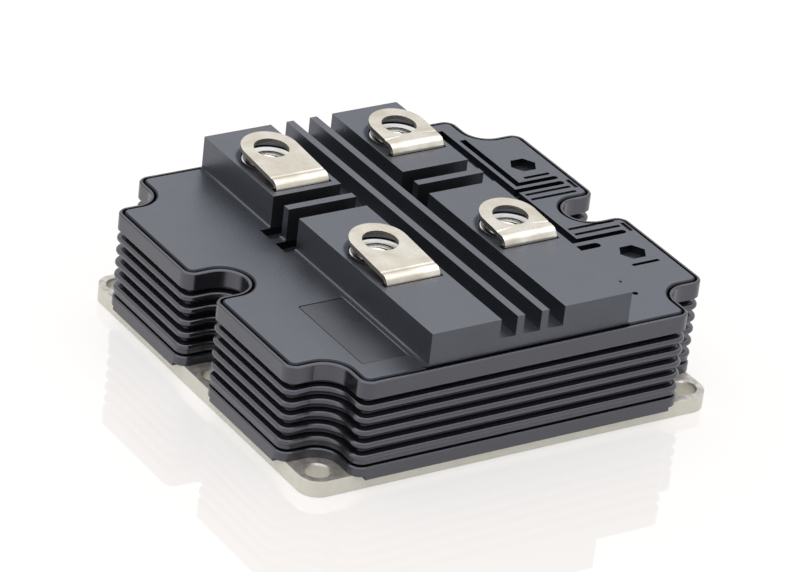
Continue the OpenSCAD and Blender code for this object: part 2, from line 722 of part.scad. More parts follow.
// Silicone gel that fills the housing round the substrates and the terminals' bars
module silicone_gel() {
    room = 0.4;
    bar_half = substrate_x + foot_x + foot_w / 2 + room;
    color([0.82, 0.85, 0.86, 0.6])
    difference() {
        translate([0, 0, base_t]) linear_extrude(gel_h) plan(wall_t + 0.2);
        for (y = [front_y, back_y]) {
            for (side = [-1, 1])
                translate([side * substrate_x - ceramic_w / 2 - room, y + substrate_y - ceramic_l / 2 - room, base_t - eps])
                    cube([ceramic_w + 2 * room, ceramic_l + 2 * room, bar_z - base_t]);
            for (col = [[-1, cathode_reach], [1, anode_reach]]) {
                translate([-bar_half, y - col[1] - room, bar_z - 2])
                    cube([2 * bar_half, tab_t + 2 * room, bar_h + 2 + room]);
                translate([col[0] * block_x - tab_w / 2 - room, y - col[1] - room, bar_z - 2])
                    cube([tab_w + 2 * room, tab_t + 2 * room, gel_h]);
            }
        }
    }
}

base_plate();
housing_frame();
lid();
terminal(-1, back_y, cathode_reach);  // cathode_terminal_back
terminal(-1, front_y, cathode_reach);  // cathode_terminal_front
terminal(1, back_y, anode_reach);  // anode_terminal_back
terminal(1, front_y, anode_reach);  // anode_terminal_front
nut(-1, back_y);  // nut_back_left
nut(1, back_y);  // nut_back_right
nut(-1, front_y);  // nut_front_left
nut(1, front_y);  // nut_front_right
back_copper(-1, back_y);  // back_copper_back_left
back_copper(1, back_y);  // back_copper_back_right
back_copper(-1, front_y);  // back_copper_front_left
back_copper(1, front_y);  // back_copper_front_right
ceramic(-1, back_y);  // ceramic_back_left
ceramic(1, back_y);  // ceramic_back_right
ceramic(-1, front_y);  // ceramic_front_left
ceramic(1, front_y);  // ceramic_front_right
cathode_copper(-1, back_y);  // cathode_copper_back_left
cathode_copper(1, back_y);  // cathode_copper_back_right
cathode_copper(-1, front_y);  // cathode_copper_front_left
cathode_copper(1, front_y);  // cathode_copper_front_right
anode_track(-1, back_y);  // anode_track_back_left
anode_track(1, back_y);  // anode_track_back_right
anode_track(-1, front_y);  // anode_track_front_left
anode_track(1, front_y);  // anode_track_front_right
chips(-1, back_y);  // chips_back_left
chips(1, back_y);  // chips_back_right
chips(-1, front_y);  // chips_front_left
chips(1, front_y);  // chips_front_right
bond_wires(-1, back_y);  // bond_wires_back_left
bond_wires(1, back_y);  // bond_wires_back_right
bond_wires(-1, front_y);  // bond_wires_front_left
bond_wires(1, front_y);  // bond_wires_front_right
silicone_gel();
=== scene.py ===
# %% [markdown]
# # A power diode module
# The object is a flat block about as wide as a hand. A plated metal base carries a ribbed plastic frame,
# a lid with four raised blocks closes it, and four bent terminals lie over nuts that sit in the blocks.
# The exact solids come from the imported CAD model. This script gives them their finishes, lays a blank
# label in its recess, cuts the screw threads, and sets up the light and the camera.

# %% Load the solids
import math

import bmesh
import bpy
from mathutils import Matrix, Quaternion, Vector


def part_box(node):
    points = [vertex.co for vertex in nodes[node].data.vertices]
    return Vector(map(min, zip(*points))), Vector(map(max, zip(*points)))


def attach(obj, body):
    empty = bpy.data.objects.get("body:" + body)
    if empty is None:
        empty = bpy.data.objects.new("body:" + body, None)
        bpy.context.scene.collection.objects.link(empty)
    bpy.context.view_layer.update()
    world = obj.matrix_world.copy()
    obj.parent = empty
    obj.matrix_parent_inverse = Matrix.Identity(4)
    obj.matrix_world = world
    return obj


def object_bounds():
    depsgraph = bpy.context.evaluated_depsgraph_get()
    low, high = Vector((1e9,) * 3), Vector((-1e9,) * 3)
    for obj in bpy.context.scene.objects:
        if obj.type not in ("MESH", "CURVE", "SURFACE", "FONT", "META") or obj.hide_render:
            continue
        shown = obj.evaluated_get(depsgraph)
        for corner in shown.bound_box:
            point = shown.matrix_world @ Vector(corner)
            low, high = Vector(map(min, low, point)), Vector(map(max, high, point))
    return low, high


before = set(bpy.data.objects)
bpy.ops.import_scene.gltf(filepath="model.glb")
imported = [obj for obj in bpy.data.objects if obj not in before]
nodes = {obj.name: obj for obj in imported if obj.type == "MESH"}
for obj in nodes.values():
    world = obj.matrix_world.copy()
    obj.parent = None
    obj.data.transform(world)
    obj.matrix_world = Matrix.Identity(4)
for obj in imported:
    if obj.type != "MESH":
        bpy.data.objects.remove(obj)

cad_box = [list(corner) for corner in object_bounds()]
print("solids:", len(nodes), "box:", cad_box)

# %% [markdown]
# ## Camera
# The module was photographed from far away with a long lens, so its parallel edges stay nearly parallel.
# The view was solved from the mounting holes and the outline. It could be written as a matrix, but a
# distance, two angles and a roll are easier to read, and the tracking quaternion turns them into a
# rotation.

# %% Camera at the photograph's view
AIM = Vector((0.0022, 0.0052, 0.0184))
AZIMUTH = math.radians(-34.96)
ELEVATION = math.radians(28.16)
ROLL = math.radians(6.68)
DISTANCE = 1.33
SENSOR_WIDTH = 36.0
FOCAL_LENGTH = 204.8

across = math.cos(ELEVATION)
back = Vector((math.sin(AZIMUTH) * across, -math.cos(AZIMUTH) * across, math.sin(ELEVATION)))
lens = bpy.data.cameras.new("long_lens")
lens.sensor_fit = "HORIZONTAL"
lens.sensor_width = SENSOR_WIDTH
lens.lens = FOCAL_LENGTH
camera = bpy.data.objects.new("long_lens", lens)
camera.location = AIM + DISTANCE * back
camera.rotation_mode = "QUATERNION"
camera.rotation_quaternion = back.to_track_quat("Z", "Y") @ Quaternion((0.0, 0.0, 1.0), ROLL)
bpy.context.scene.collection.objects.link(camera)
bpy.context.scene.camera = camera
bpy.context.scene.view_settings.view_transform = "Standard"
print("camera at", [round(value, 4) for value in camera.location])

# %% [markdown]
# ## White surroundings
# The module stands on a white table in a white room. Backdrops could stand round it, but the colour of
# the world gives the same even white from every side. It shows at full white to the camera and in
# reflections, so the plated metal has something bright to mirror. For all other rays it is dimmer,
# because the lamps bring the rest of the light and the shadow under the module should stay.

# %% World
ROOM_LIGHT = 0.38
WHITE = (1.0, 1.0, 1.0, 1.0)


def seen_directly(tree):
    """The socket that is 1 for camera, glossy and transmission rays, and 0 for all others."""
    path = tree.nodes.new("ShaderNodeLightPath")
    first = tree.nodes.new("ShaderNodeMath")
    first.operation = "MAXIMUM"
    tree.links.new(path.outputs["Is Camera Ray"], first.inputs[0])
    tree.links.new(path.outputs["Is Glossy Ray"], first.inputs[1])
    both = tree.nodes.new("ShaderNodeMath")
    both.operation = "MAXIMUM"
    tree.links.new(first.outputs[0], both.inputs[0])
    tree.links.new(path.outputs["Is Transmission Ray"], both.inputs[1])
    return both.outputs[0]


room = bpy.data.worlds.new("white_room")
bpy.context.scene.world = room
room.use_nodes = True
level = room.node_tree.nodes.new("ShaderNodeMapRange")
level.inputs["To Min"].default_value = ROOM_LIGHT
level.inputs["To Max"].default_value = 1.0
room.node_tree.links.new(seen_directly(room.node_tree), level.inputs["Value"])
background = room.node_tree.nodes["Background"]
background.inputs["Color"].default_value = WHITE
room.node_tree.links.new(level.outputs["Result"], background.inputs["Strength"])
print("room light for diffuse rays:", ROOM_LIGHT)

# %% [markdown]
# ## Table
# The table is glossy white, and the ribbed walls show faintly in it. One flat grid with a Principled
# shader gives both the shadow and that reflection. A little emission, seen only directly, lifts the bare
# table to the white of the room. The table lies a hair below the base, because two faces at one height
# would flicker.

# %% Table top
TABLE_HALF = 4.0
TABLE_DROP = 0.0002
TABLE_COLOUR = (0.385, 0.352, 0.33, 1.0)
TABLE_ROUGHNESS = 0.02
TABLE_IOR = 1.76
TABLE_LIFT = 0.606

table_mesh = bpy.data.meshes.new("table_top")
shape = bmesh.new()
bmesh.ops.create_grid(shape, x_segments=1, y_segments=1, size=TABLE_HALF)
shape.to_mesh(table_mesh)
shape.free()
table_top = bpy.data.objects.new("table_top", table_mesh)
table_top.location.z = cad_box[0][2] - TABLE_DROP
bpy.context.scene.collection.objects.link(table_top)

gloss_white = bpy.data.materials.new("gloss_white")
gloss_white.use_nodes = True
table_tree = gloss_white.node_tree
table_shader = table_tree.nodes["Principled BSDF"]
table_shader.inputs["Base Color"].default_value = TABLE_COLOUR
table_shader.inputs["Roughness"].default_value = TABLE_ROUGHNESS
table_shader.inputs["IOR"].default_value = TABLE_IOR
table_shader.inputs["Emission Color"].default_value = WHITE
lift = table_tree.nodes.new("ShaderNodeMath")
lift.operation = "MULTIPLY"
lift.inputs[1].default_value = TABLE_LIFT
table_tree.links.new(seen_directly(table_tree), lift.inputs[0])
table_tree.links.new(lift.outputs[0], table_shader.inputs["Emission Strength"])
table_mesh.materials.append(gloss_white)
print("table top at", table_top.location.z)

# %% [markdown]
# ## Lamps
# One very wide soft lamp hangs overhead and a smaller one stands on the left, so the tops are the
# brightest faces, the left wall comes next and the right wall is the darkest. A sun would be simpler, but
# its shadow is hard. The wide lamp is about as bright as the room, so a face that mirrors it looks the
# same from above as from the side. A small lamp high on the right stands where the bends of the terminals
# mirror it, and adds little light elsewhere.

# %% Soft lamps


def soft_lamp(name, place, size, power):
    """A square area lamp that points at the module."""
    data = bpy.data.lights.new(name, "AREA")
    data.shape = "SQUARE"
    data.size = size
    data.energy = power
    lamp = bpy.data.objects.new(name, data)
    lamp.location = place
    lamp.rotation_mode = "QUATERNION"
    lamp.rotation_quaternion = Vector(place).to_track_quat("Z", "Y")
    bpy.context.scene.collection.objects.link(lamp)
    print(name, power, "W")


soft_lamp("overhead_lamp", place=(-0.05, 0.05, 1.2), size=2.6, power=19.0)
soft_lamp("left_lamp", place=(-1.1, 0.15, 0.45), size=0.8, power=0.8)
soft_lamp("bend_lamp", place=(0.66, -0.06, 1.12), size=0.3, power=0.7)

# %% [markdown]
# ## Shared effects
# Moulded and plated surfaces are never quite even. Three small node groups hold the effects that several
# finishes share: edges that are rounded and rubbed, the fine grain of a moulded skin, and the marks of
# rolled and plated metal. Each finish could have nodes of its own for them, but a group is made once and
# used in every material that needs it, so all the finishes stay alike in scale.

# %% Helpers for node groups


def new_group(name, inputs, outputs):
    """An empty node group with the given (label, kind, value) inputs and (label, kind) outputs."""
    group = bpy.data.node_groups.new(name, "ShaderNodeTree")
    for label, kind, value in inputs:
        socket = group.interface.new_socket(label, in_out="INPUT", socket_type=kind)
        if value is not None:
            socket.default_value = value
    for label, kind in outputs:
        group.interface.new_socket(label, in_out="OUTPUT", socket_type=kind)
    entry = group.nodes.new("NodeGroupInput")
    leave = group.nodes.new("NodeGroupOutput")
    return group, entry, leave


def noise(tree, vector, scale, detail):
    """A noise texture on the given vector socket; the scale is a number or a socket."""
    texture = tree.nodes.new("ShaderNodeTexNoise")
    if isinstance(scale, float):
        texture.inputs["Scale"].default_value = scale
    else:
        tree.links.new(scale, texture.inputs["Scale"])
    texture.inputs["Detail"].default_value = detail
    tree.links.new(vector, texture.inputs["Vector"])
    return texture.outputs["Fac"]


def remap(tree, value, low, high, to_low, to_high):
    """A clamped range change of a value socket."""
    node = tree.nodes.new("ShaderNodeMapRange")
    node.inputs["From Min"].default_value = low
    node.inputs["From Max"].default_value = high
    node.inputs["To Min"].default_value = to_low
    node.inputs["To Max"].default_value = to_high
    tree.links.new(value, node.inputs["Value"])
    return node.outputs["Result"]


print("group helpers ready")

# %% [markdown]
# ### Rubbed edges
# Every moulded edge has a small radius, and hands and packing rub it smooth. The edges could be bevelled,
# but the solids have to stay as they are. The Bevel node bends the normal near an edge without touching
# the mesh. Where the bent normal leaves the true one there is an edge, and that gives the mask. The
# finishes pale their colour along it, partly as wear and partly as a painted highlight.

# %% Group: rubbed edges
EDGE_RADIUS = 0.0003
BEVEL_SAMPLES = 6
EDGE_STARTS = 0.97
EDGE_IS_FULL = 0.75

rubbed_edges, entry, leave = new_group(
    "rubbed_edges",
    [("Radius", "NodeSocketFloat", EDGE_RADIUS)],
    [("Normal", "NodeSocketVector"), ("Edge", "NodeSocketFloat")],
)
rounding = rubbed_edges.nodes.new("ShaderNodeBevel")
rounding.samples = BEVEL_SAMPLES
surface = rubbed_edges.nodes.new("ShaderNodeNewGeometry")
agreement = rubbed_edges.nodes.new("ShaderNodeVectorMath")
agreement.operation = "DOT_PRODUCT"
rubbed_edges.links.new(entry.outputs["Radius"], rounding.inputs["Radius"])
rubbed_edges.links.new(rounding.outputs["Normal"], agreement.inputs[0])
rubbed_edges.links.new(surface.outputs["Normal"], agreement.inputs[1])
edge = remap(rubbed_edges, agreement.outputs["Value"], EDGE_STARTS, EDGE_IS_FULL, 0.0, 1.0)
rubbed_edges.links.new(rounding.outputs["Normal"], leave.inputs["Normal"])
rubbed_edges.links.new(edge, leave.inputs["Edge"])
print("rubbed_edges:", len(rubbed_edges.nodes), "nodes")

# %% [markdown]
# ### Moulded grain
# The mould was spark eroded, so the plastic has a fine pitted skin, a few tenths of a millimetre across.
# Glass fibres show in it as small pale specks, and the flow of the melt leaves clouds a centimetre or two
# wide. Pits in the mesh would take millions of faces, so three noises at those three sizes stand in for
# them.

# %% Group: moulded grain
PIT_SCALE = 1500.0
CLOUD_SCALE = 55.0
SPECK_SCALE = 2200.0
CLOUD_RANGE = (0.35, 0.65)
SPECK_RANGE = (0.45, 0.75)

moulded_grain, entry, leave = new_group(
    "moulded_grain",
    [("Vector", "NodeSocketVector", None)],
    [("Height", "NodeSocketFloat"), ("Clouds", "NodeSocketFloat"), ("Specks", "NodeSocketFloat")],
)
pits = noise(moulded_grain, entry.outputs["Vector"], PIT_SCALE, detail=4.0)
clouds = noise(moulded_grain, entry.outputs["Vector"], CLOUD_SCALE, detail=5.0)
specks = noise(moulded_grain, entry.outputs["Vector"], SPECK_SCALE, detail=2.0)
moulded_grain.links.new(pits, leave.inputs["Height"])
moulded_grain.links.new(remap(moulded_grain, clouds, *CLOUD_RANGE, 0.0, 1.0), leave.inputs["Clouds"])
moulded_grain.links.new(remap(moulded_grain, specks, *SPECK_RANGE, 0.0, 1.0), leave.inputs["Specks"])
print("moulded_grain:", len(moulded_grain.nodes), "nodes")

# %% [markdown]
# ### Plating marks
# Rolled strip keeps faint lines along its length after plating, and the bath leaves soft patches and a
# few spots. A brushed look could come from an anisotropic shader, but here the lines are few and shallow,
# so a noise that is stretched along one axis is enough. The stretch is an input, so cast and rolled
# pieces can differ.

# %% Group: plating marks
LINE_SCALE = 2600.0
PATCH_SCALE = 140.0
SPOT_SCALE = 900.0
PATCH_RANGE = (0.35, 0.65)
SPOT_RANGE = (0.66, 0.74)

plating_marks, entry, leave = new_group(
    "plating_marks",
    [
        ("Vector", "NodeSocketVector", None),
        ("Stretch", "NodeSocketVector", (1.0, 1.0, 1.0)),
        ("Patch Scale", "NodeSocketFloat", PATCH_SCALE),
    ],
    [("Lines", "NodeSocketFloat"), ("Patches", "NodeSocketFloat"), ("Spots", "NodeSocketFloat")],
)
stretched = plating_marks.nodes.new("ShaderNodeVectorMath")
stretched.operation = "MULTIPLY"
plating_marks.links.new(entry.outputs["Vector"], stretched.inputs[0])
plating_marks.links.new(entry.outputs["Stretch"], stretched.inputs[1])
lines = noise(plating_marks, stretched.outputs["Vector"], LINE_SCALE, detail=3.0)
patches = noise(plating_marks, entry.outputs["Vector"], entry.outputs["Patch Scale"], detail=4.0)
spots = noise(plating_marks, entry.outputs["Vector"], SPOT_SCALE, detail=2.0)
plating_marks.links.new(lines, leave.inputs["Lines"])
plating_marks.links.new(remap(plating_marks, patches, *PATCH_RANGE, 0.0, 1.0), leave.inputs["Patches"])
plating_marks.links.new(remap(plating_marks, spots, *SPOT_RANGE, 0.0, 1.0), leave.inputs["Spots"])
print("plating_marks:", len(plating_marks.nodes), "nodes")

# %% [markdown]
# ## Finishes
# Each finish is one Principled shader. What is the same all over is set on the shader itself, and only
# what varies over the surface comes from the groups: the colour, the roughness and the normal.

# %% Helpers for finishes


def add_group(tree, group):
    """A copy of a shared effect in a material, reading object coordinates where it needs a place."""
    node = tree.nodes.new("ShaderNodeGroup")
    node.node_tree = group
    if "Vector" in node.inputs:
        place = tree.nodes.new("ShaderNodeTexCoord")
        tree.links.new(place.outputs["Object"], node.inputs["Vector"])
    return node


def blend(tree, factor, first, second):
    """A colour mix; each side is a colour or a socket."""
    node = tree.nodes.new("ShaderNodeMix")
    node.data_type = "RGBA"
    tree.links.new(factor, node.inputs["Factor"])
    for label, side in (("A", first), ("B", second)):
        socket = [entry for entry in node.inputs if entry.name == label and entry.type == "RGBA"][0]
        if isinstance(side, tuple):
            socket.default_value = (*side, 1.0)
        else:
            tree.links.new(side, socket)
    return [entry for entry in node.outputs if entry.type == "RGBA"][0]


def new_finish(name, metallic, edge_radius):
    """A material with a Principled shader and the rubbed edges that every finish has."""
    material = bpy.data.materials.new(name)
    material.use_nodes = True
    tree = material.node_tree
    shader = tree.nodes["Principled BSDF"]
    shader.inputs["Metallic"].default_value = metallic
    edges = add_group(tree, rubbed_edges)
    edges.inputs["Radius"].default_value = edge_radius
    return material, tree, shader, edges


def add_bump(tree, shader, edges, height, distance, strength):
    """A bump over the rounded normal."""
    bump = tree.nodes.new("ShaderNodeBump")
    bump.inputs["Distance"].default_value = distance
    bump.inputs["Strength"].default_value = strength
    tree.links.new(height, bump.inputs["Height"])
    tree.links.new(edges.outputs["Normal"], bump.inputs["Normal"])
    tree.links.new(bump.outputs["Normal"], shader.inputs["Normal"])


def feeds(shader, label):
    """The socket that feeds an input of a shader."""
    return shader.inputs[label].links[0].from_socket


print("finish helpers ready")

# %% [markdown]
# ### Moulded plastic
# The frame and the lid are glass filled plastic, nearly black with a cool dull sheen. A grey colour would
# look flat. Most of the grey on the real one is the white room mirrored in that sheen, so the colour is
# dark, the index of refraction a little high and the mirror tinted, and the walls that face each other
# stay black. The clouds move the colour a little, the specks are glass fibres at the surface, and the
# edges are paler, partly rubbed and partly a painted highlight.

# %% Plastic of the frame and the lid
SPECK_SHARE = 0.12
EDGE_WEAR_AND_HIGHLIGHT = 0.3
PLASTIC_SWING = 0.05
GRAIN_STRENGTH = 0.5


def moulded_plastic(
        name, dark, pale, fleck_and_edge, dull, edge_radius, relief=0.0001, index=1.5, tint=(1.0, 1.0, 1.0)):
    """A grained plastic that wanders between two colours and pales along its edges."""
    material, tree, shader, edges = new_finish(name, 0.0, edge_radius)
    shader.inputs["IOR"].default_value = index
    shader.inputs["Specular Tint"].default_value = (*tint, 1.0)
    grain = add_group(tree, moulded_grain)
    body = blend(tree, grain.outputs["Clouds"], dark, pale)
    flecked = blend(tree, remap(tree, grain.outputs["Specks"], 0.0, 1.0, 0.0, SPECK_SHARE), body, fleck_and_edge)
    # The edges are paler, partly from wear and partly as a painted highlight.
    worn_and_lit = blend(tree, remap(tree, edges.outputs["Edge"], 0.0, 1.0, 0.0, EDGE_WEAR_AND_HIGHLIGHT), flecked, fleck_and_edge)
    tree.links.new(worn_and_lit, shader.inputs["Base Color"])
    sheen = remap(tree, grain.outputs["Clouds"], 0.0, 1.0, dull + PLASTIC_SWING, dull - PLASTIC_SWING)
    tree.links.new(sheen, shader.inputs["Roughness"])
    add_bump(tree, shader, edges, grain.outputs["Height"], relief, GRAIN_STRENGTH)
    print(name, "finish ready")
    return material


frame_plastic = moulded_plastic(
    "frame_plastic",
    dark=(0.007, 0.0065, 0.0065),
    pale=(0.011, 0.0105, 0.0105),
    fleck_and_edge=(0.16, 0.16, 0.18),
    dull=0.22,
    edge_radius=0.00025,
    relief=0.00002,
    index=1.9,
    tint=(0.84, 0.85, 1.0),
)
lid_plastic = moulded_plastic(
    "lid_plastic",
    dark=(0.009, 0.0085, 0.008),
    pale=(0.014, 0.0135, 0.013),
    fleck_and_edge=(0.10, 0.105, 0.115),
    dull=0.34,
    edge_radius=0.0001,
    relief=0.00018,
    index=2.12,
    tint=(0.76, 0.83, 1.0),
)

# %% [markdown]
# ### Plated metal
# The base is a cast plate with a dull warm plating, the terminals are bent from bright rolled strip, and
# the nuts are turned and plated. They could be three materials of their own. All three share the plating
# marks, though, so one function makes them, and they differ in colour, dullness and the stretch of the
# lines.

# %% Plating of the base, the terminals and the nuts
STAIN_SHADE = 0.72
STAIN_SHARE = 0.3
METAL_WEAR_AND_HIGHLIGHT = 0.7
METAL_SWING = 0.06
LINE_STRENGTH = 0.4


def plated_metal(name, deep, bright, dull, stretch, line_height, edge_radius, patch_scale=PATCH_SCALE):
    """A plated metal with lines, patches and a few darker spots."""
    material, tree, shader, edges = new_finish(name, 1.0, edge_radius)
    marks = add_group(tree, plating_marks)
    marks.inputs["Stretch"].default_value = stretch
    marks.inputs["Patch Scale"].default_value = patch_scale
    body = blend(tree, marks.outputs["Patches"], deep, bright)
    stain = tuple(STAIN_SHADE * channel for channel in deep)
    spotted = blend(tree, remap(tree, marks.outputs["Spots"], 0.0, 1.0, 0.0, STAIN_SHARE), body, stain)
    # The edges are paler, partly from wear and partly as a painted highlight.
    worn_and_lit = blend(tree, remap(tree, edges.outputs["Edge"], 0.0, 1.0, 0.0, METAL_WEAR_AND_HIGHLIGHT), spotted, bright)
    tree.links.new(worn_and_lit, shader.inputs["Base Color"])
    sheen = remap(tree, marks.outputs["Patches"], 0.0, 1.0, dull + METAL_SWING, dull - METAL_SWING)
    tree.links.new(sheen, shader.inputs["Roughness"])
    add_bump(tree, shader, edges, marks.outputs["Lines"], line_height, LINE_STRENGTH)
    print(name, "finish ready")
    return material


base_plating = plated_metal(
    "base_plating",
    deep=(0.43, 0.40, 0.375),
    bright=(0.72, 0.69, 0.645),
    dull=0.46,
    stretch=(0.5, 0.5, 0.5),
    line_height=0.00004,
    edge_radius=EDGE_RADIUS,
    patch_scale=420.0,
)
terminal_plating = plated_metal(
    "terminal_plating",
    deep=(0.52, 0.475, 0.40),
    bright=(0.72, 0.69, 0.62),
    dull=0.26,
    stretch=(1.0, 0.02, 0.05),
    line_height=0.00001,
    edge_radius=0.00012,
)
nut_plating = plated_metal(
    "nut_plating",
    deep=(0.66, 0.65, 0.62),
    bright=(0.80, 0.79, 0.77),
    dull=0.22,
    stretch=(0.4, 0.4, 2.0),
    line_height=0.00001,
    edge_radius=0.00012,
)
thread_plating = plated_metal(
    "thread_plating",
    deep=(0.60, 0.59, 0.56),
    bright=(0.80, 0.79, 0.77),
    dull=0.18,
    stretch=(0.4, 0.4, 2.0),
    line_height=0.00001,
    edge_radius=0.00005,
)

# %% [markdown]
# ### Turned faces of the metal
# The strip was plated before the terminals were punched out of it, so the cut edges and the walls of the
# holes are bare, rough and darker, and part of that dark is painted shade. The underside gets the same
# colour as painted shade, where no light comes. The slopes and walls of the nuts get a painted shade too,
# and only their flat rings shine. The base plate is the other way round: its top is darker, duller and
# blotched, and its sides are paler. A second material would need these faces by name, and a solid's mesh
# has no names for them. So the normal picks them out, and the edges stay bright, partly from wear and
# partly as a painted highlight. On the terminals the mask starts above the bend, because the root of a
# tab stands upright too.

# %% Painted shade on the terminals and nuts, paler sides on the base
# The heights between which a mask grows from 0 to 1.
EVERY_HEIGHT = (-0.002, -0.001)
ABOVE_BEND = (0.0467, 0.0469)
# The Z of a normal up to which a mask is 1, and from which it is 0.
STEEP_OR_UNDER = (0.2, 0.35)
SLOPING = (0.955, 0.985)
# How much of the colour is laid over, and how much metal the base has.
COVER_ON_FACE = 0.9
COVER_ON_EDGE = 0.3
TOP_METAL = 0.6
SIDE_METAL = 0.35


def value_step(tree, operation, first, second):
    """One operation on two value sockets."""
    node = tree.nodes.new("ShaderNodeMath")
    node.operation = operation
    tree.links.new(first, node.inputs[0])
    tree.links.new(second, node.inputs[1])
    return node.outputs[0]


def turned_faces(tree, heights, slants):
    """A mask that grows between two heights, on faces whose normal's Z is under the slants."""
    place = tree.nodes.new("ShaderNodeTexCoord")
    facing = tree.nodes.new("ShaderNodeSeparateXYZ")
    spot = tree.nodes.new("ShaderNodeSeparateXYZ")
    tree.links.new(place.outputs["Normal"], facing.inputs["Vector"])
    tree.links.new(place.outputs["Object"], spot.inputs["Vector"])
    turned = remap(tree, facing.outputs["Z"], *slants, 1.0, 0.0)
    high = remap(tree, spot.outputs["Z"], *heights, 0.0, 1.0)
    return value_step(tree, "MULTIPLY", turned, high)


def finish_turned_faces(material, heights, slants, colour, duller):
    """Lay another colour and roughness over the turned faces, and return their mask."""
    tree = material.node_tree
    shader = tree.nodes["Principled BSDF"]
    edges = [node for node in tree.nodes if getattr(node, "node_tree", None) == rubbed_edges][0]
    mask = turned_faces(tree, heights, slants)
    off_edges = remap(tree, edges.outputs["Edge"], 0.0, 1.0, COVER_ON_FACE, COVER_ON_EDGE)
    cover = value_step(tree, "MULTIPLY", mask, off_edges)
    tree.links.new(blend(tree, cover, feeds(shader, "Base Color"), colour), shader.inputs["Base Color"])
    rough = tree.nodes.new("ShaderNodeMath")
    rough.operation = "MULTIPLY_ADD"
    tree.links.new(mask, rough.inputs[0])
    rough.inputs[1].default_value = duller
    tree.links.new(feeds(shader, "Roughness"), rough.inputs[2])
    tree.links.new(rough.outputs[0], shader.inputs["Roughness"])
    print(material.name, "has its cut faces")
    return mask


# Painted shade on the undersides of the terminals, and in part on their cut edges and hole walls.
finish_turned_faces(terminal_plating, ABOVE_BEND, STEEP_OR_UNDER, colour=(0.16, 0.15, 0.13), duller=0.2)
# Painted shade on the slopes and walls of the nuts.
finish_turned_faces(nut_plating, EVERY_HEIGHT, SLOPING, colour=(0.07, 0.07, 0.065), duller=0.1)
sides = finish_turned_faces(base_plating, EVERY_HEIGHT, STEEP_OR_UNDER, colour=(0.89, 0.875, 0.775), duller=-0.05)
base_tree = base_plating.node_tree
base_metal = remap(base_tree, sides, 0.0, 1.0, TOP_METAL, SIDE_METAL)
base_tree.links.new(base_metal, base_tree.nodes["Principled BSDF"].inputs["Metallic"])

# %% [markdown]
# ### Rims of the nuts
# The outer rim of a nut's flange gets a painted highlight, a thin bright ring beside the tab.
# The ring could be a piece of its own, but it is only a change of colour. The place is folded over, so
# that the four nuts fall on one spot, and the distance to that spot makes the ring. The upright wall of
# the mouth is painted black as shade, so it draws a dark line between the flange and the thread.

# %% Painted highlight on the rims and painted shade in the mouths
RIM_R = 0.0082
RIM_FADE = 0.0001
# The colour of the painted highlight on the rims.
RIM_HIGHLIGHT_COLOUR = (0.85, 0.84, 0.82)
UPRIGHT = (0.3, 0.6)
# The colour of the painted shade in the mouths.
MOUTH_SHADE = (0.012, 0.012, 0.012)


def nut_axis(nut):
    """The X and Y of a nut's axis."""
    low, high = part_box(nut)
    return (low[0] + high[0]) / 2, (low[1] + high[1]) / 2


axis_x, back_y = nut_axis("nut_back_right")
front_y = nut_axis("nut_front_right")[1]
fold_y = (front_y + back_y) / 2


def vector_step(tree, operation, first, second=(0.0, 0.0, 0.0)):
    """One vector operation on a socket and a constant."""
    node = tree.nodes.new("ShaderNodeVectorMath")
    node.operation = operation
    tree.links.new(first, node.inputs[0])
    node.inputs[1].default_value = second
    return node.outputs["Vector"]


def reach_from_nut(tree):
    """How far a place is from the axis of its nut."""
    place = tree.nodes.new("ShaderNodeTexCoord").outputs["Object"]
    folded = vector_step(tree, "ABSOLUTE", vector_step(tree, "SUBTRACT", place, (0.0, fold_y, 0.0)))
    from_nut = vector_step(tree, "SUBTRACT", folded, (axis_x, back_y - fold_y, 0.0))
    reach = tree.nodes.new("ShaderNodeVectorMath")
    reach.operation = "LENGTH"
    tree.links.new(vector_step(tree, "MULTIPLY", from_nut, (1.0, 1.0, 0.0)), reach.inputs[0])
    return reach.outputs["Value"]


nut_tree = nut_plating.node_tree
nut_shader = nut_tree.nodes["Principled BSDF"]
# A painted highlight on the outer rim of each flange.
rim_highlight = remap(nut_tree, reach_from_nut(nut_tree), RIM_R - RIM_FADE, RIM_R + RIM_FADE, 0.0, 1.0)
rim_highlighted = blend(nut_tree, rim_highlight, feeds(nut_shader, "Base Color"), RIM_HIGHLIGHT_COLOUR)
inside_rim = remap(nut_tree, rim_highlight, 0.0, 1.0, 1.0, 0.0)
# Painted shade on the upright walls of the mouths.
walls = value_step(nut_tree, "MULTIPLY", turned_faces(nut_tree, EVERY_HEIGHT, UPRIGHT), inside_rim)
nut_tree.links.new(blend(nut_tree, walls, rim_highlighted, MOUTH_SHADE), nut_shader.inputs["Base Color"])
print("nuts have their bright rims and dark mouths")

# %% [markdown]
# ### Painted shade on the lid
# The edge of the lid rolls down into the narrow gap to the frame, and there it gets a painted shade,
# darker than the flat top. So does a narrow ring round each nut, the painted shade of the tab above it.
# A plastic mirrors the room at such a slant however dark its colour is. A dark metal doesn't, so these
# places get a share of one, below, which paints out their reflection. Two masks from above find them:
# the faces that lean, below the lid's flat top, and the places near the axis of a nut.

# %% Paint shade on the rounding and the rings
LID_TOP = 0.0353
TOP_FADE = 0.00005
BELOW_TOP = (LID_TOP, LID_TOP - TOP_FADE)
LEANING = (0.97, 0.998)
# The ring of painted shade round each nut, under its tab.
SHADE_RING_R = 0.0098
SHADE_RING_FADE = 0.0008
PAINTED_SHADE = (0.018, 0.018, 0.02)

lid_tree = lid_plastic.node_tree
lid_shader = lid_tree.nodes["Principled BSDF"]
